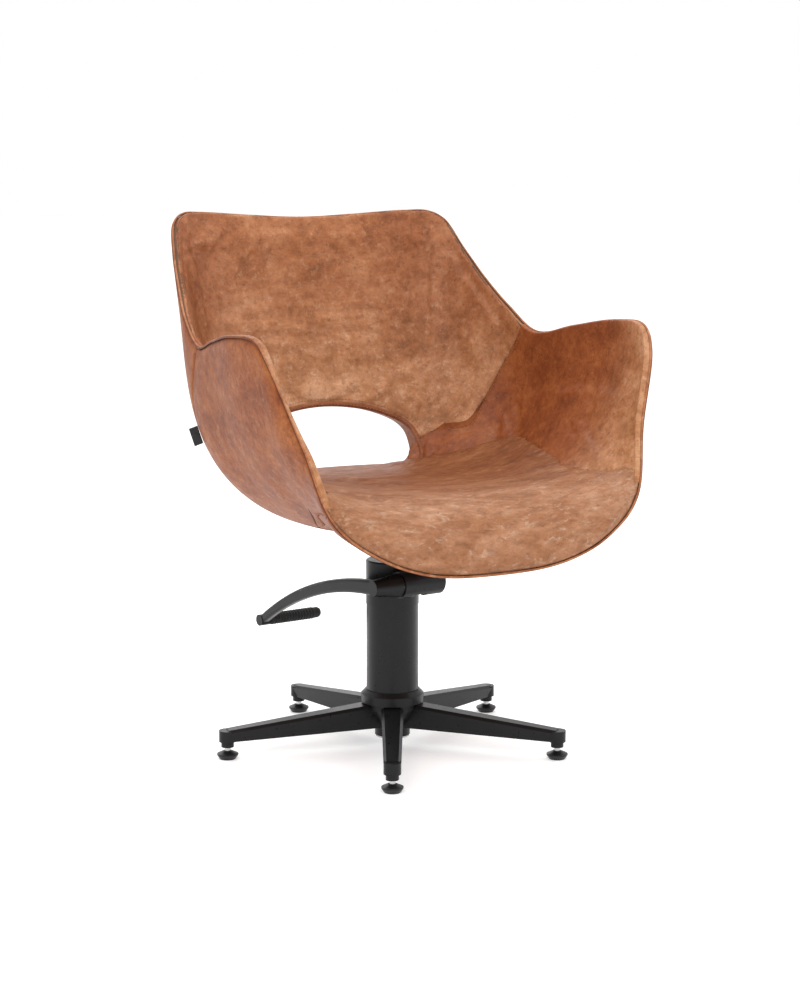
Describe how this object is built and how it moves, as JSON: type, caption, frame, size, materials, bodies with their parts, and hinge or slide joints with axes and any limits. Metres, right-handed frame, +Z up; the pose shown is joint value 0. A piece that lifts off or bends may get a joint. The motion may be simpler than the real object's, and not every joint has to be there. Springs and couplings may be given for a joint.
{
  "type": "styling chair",
  "caption": "Hydraulic styling chair: tan leather tub with a cut-out lower back on a black pump column with side foot pedal and a five-legged star base.",
  "frame": {"origin": "point on the floor under the swivel axis of the seat", "axes": "+Z up along the swivel axis, -Y the way the sitter faces, +X to the sitter's left"},
  "size_m": [0.7216, 0.6566, 0.8897],
  "materials": {
    "tan_leather": "satin",
    "moulded_core": "matte",
    "plywood": "matte",
    "tag_cloth": "matte",
    "black_paint": "satin",
    "steel": "satin",
    "chromed_steel": "polished",
    "bearing_bronze": "satin",
    "black_rubber": "matte",
    "glide_plastic": "matte"
  },
  "bodies": {
    "base": {"star_base": "black_paint", "base_collar": "black_paint", "reservoir_tube": "black_paint", "reservoir_floor": "steel", "inner_cylinder": "steel", "base_washer": "steel", "base_bolt": "steel", "pump_head": "black_paint", "guide_bush": "bearing_bronze", "wiper_seal": "black_rubber", "retaining_clip": "steel", "axle_bush_left": "bearing_bronze", "axle_bush_right": "bearing_bronze", "axle_end_cap": "black_paint", "pump_barrel": "steel", "plunger_spring": "steel"},
    "glide_1": {"glide_stud_1": "steel", "glide_foot_1": "glide_plastic"},
    "glide_2": {"glide_stud_2": "steel", "glide_foot_2": "glide_plastic"},
    "glide_3": {"glide_stud_3": "steel", "glide_foot_3": "glide_plastic"},
    "glide_4": {"glide_stud_4": "steel", "glide_foot_4": "glide_plastic"},
    "glide_5": {"glide_stud_5": "steel", "glide_foot_5": "glide_plastic"},
    "pedal": {"pedal_axle": "steel", "axle_washer": "steel", "pump_crank": "steel", "pedal_arm": "black_paint", "pedal_peg": "steel", "pedal_rubber": "black_rubber", "pedal_set_screw": "steel"},
    "plunger": {"plunger": "steel"},
    "lift": {"ram": "chromed_steel", "piston_seal": "black_rubber", "thrust_race_lower": "steel", "thrust_balls": "steel", "thrust_cage": "bearing_bronze"},
    "seat": {"thrust_race_upper": "steel", "swivel_spindle": "steel", "seat_plate": "black_paint", "seat_bolts": "steel", "seat_bolt_washers": "steel", "tee_nuts": "steel", "underside_cover": "tan_leather", "outer_back_cover": "tan_leather", "outer_arm_cover_left": "tan_leather", "outer_arm_cover_right": "tan_leather", "front_lip_cover": "tan_leather", "tub_core": "moulded_core", "inner_back_pad": "tan_leather", "arm_pad_left": "tan_leather", "arm_pad_right": "tan_leather", "cutout_band": "tan_leather", "seat_board": "plywood", "seat_cushion": "tan_leather", "rim_piping": "tan_leather", "side_tag": "tag_cloth"}
  },
  "joints": [
    {"name": "glide_1_height", "type": "slide", "parent": "base", "child": "glide_1", "axis": [0, 0, 1], "range_m": [-0.008, 0.004]},
    {"name": "glide_2_height", "type": "slide", "parent": "base", "child": "glide_2", "axis": [0, 0, 1], "range_m": [-0.008, 0.004]},
    {"name": "glide_3_height", "type": "slide", "parent": "base", "child": "glide_3", "axis": [0, 0, 1], "range_m": [-0.008, 0.004]},
    {"name": "glide_4_height", "type": "slide", "parent": "base", "child": "glide_4", "axis": [0, 0, 1], "range_m": [-0.008, 0.004]},
    {"name": "glide_5_height", "type": "slide", "parent": "base", "child": "glide_5", "axis": [0, 0, 1], "range_m": [-0.008, 0.004]},
    {"name": "pedal_pivot", "type": "hinge", "parent": "base", "child": "pedal", "pos_m": [0.00627, -0.05967, 0.286], "axis": [-0.9945, -0.1045, 0], "range_deg": [0, 18], "stiffness_Nm_per_rad": 9, "springref_deg": -34.38},
    {"name": "plunger_stroke", "type": "slide", "parent": "base", "child": "plunger", "axis": [0, 0, -1], "range_m": [0, 0.0095], "deforming": ["plunger_spring"]},
    {"name": "column_lift", "type": "slide", "parent": "base", "child": "lift", "axis": [0, 0, 1], "range_m": [0, 0.13]},
    {"name": "seat_swivel", "type": "hinge", "parent": "lift", "child": "seat", "pos_m": [0, 0, 0.334], "axis": [0, 0, 1], "continuous": true}
  ],
  "couplings": [
    {"joint": "plunger_stroke", "follows": "pedal_pivot", "m_per_rad": 0.03}
  ]
}
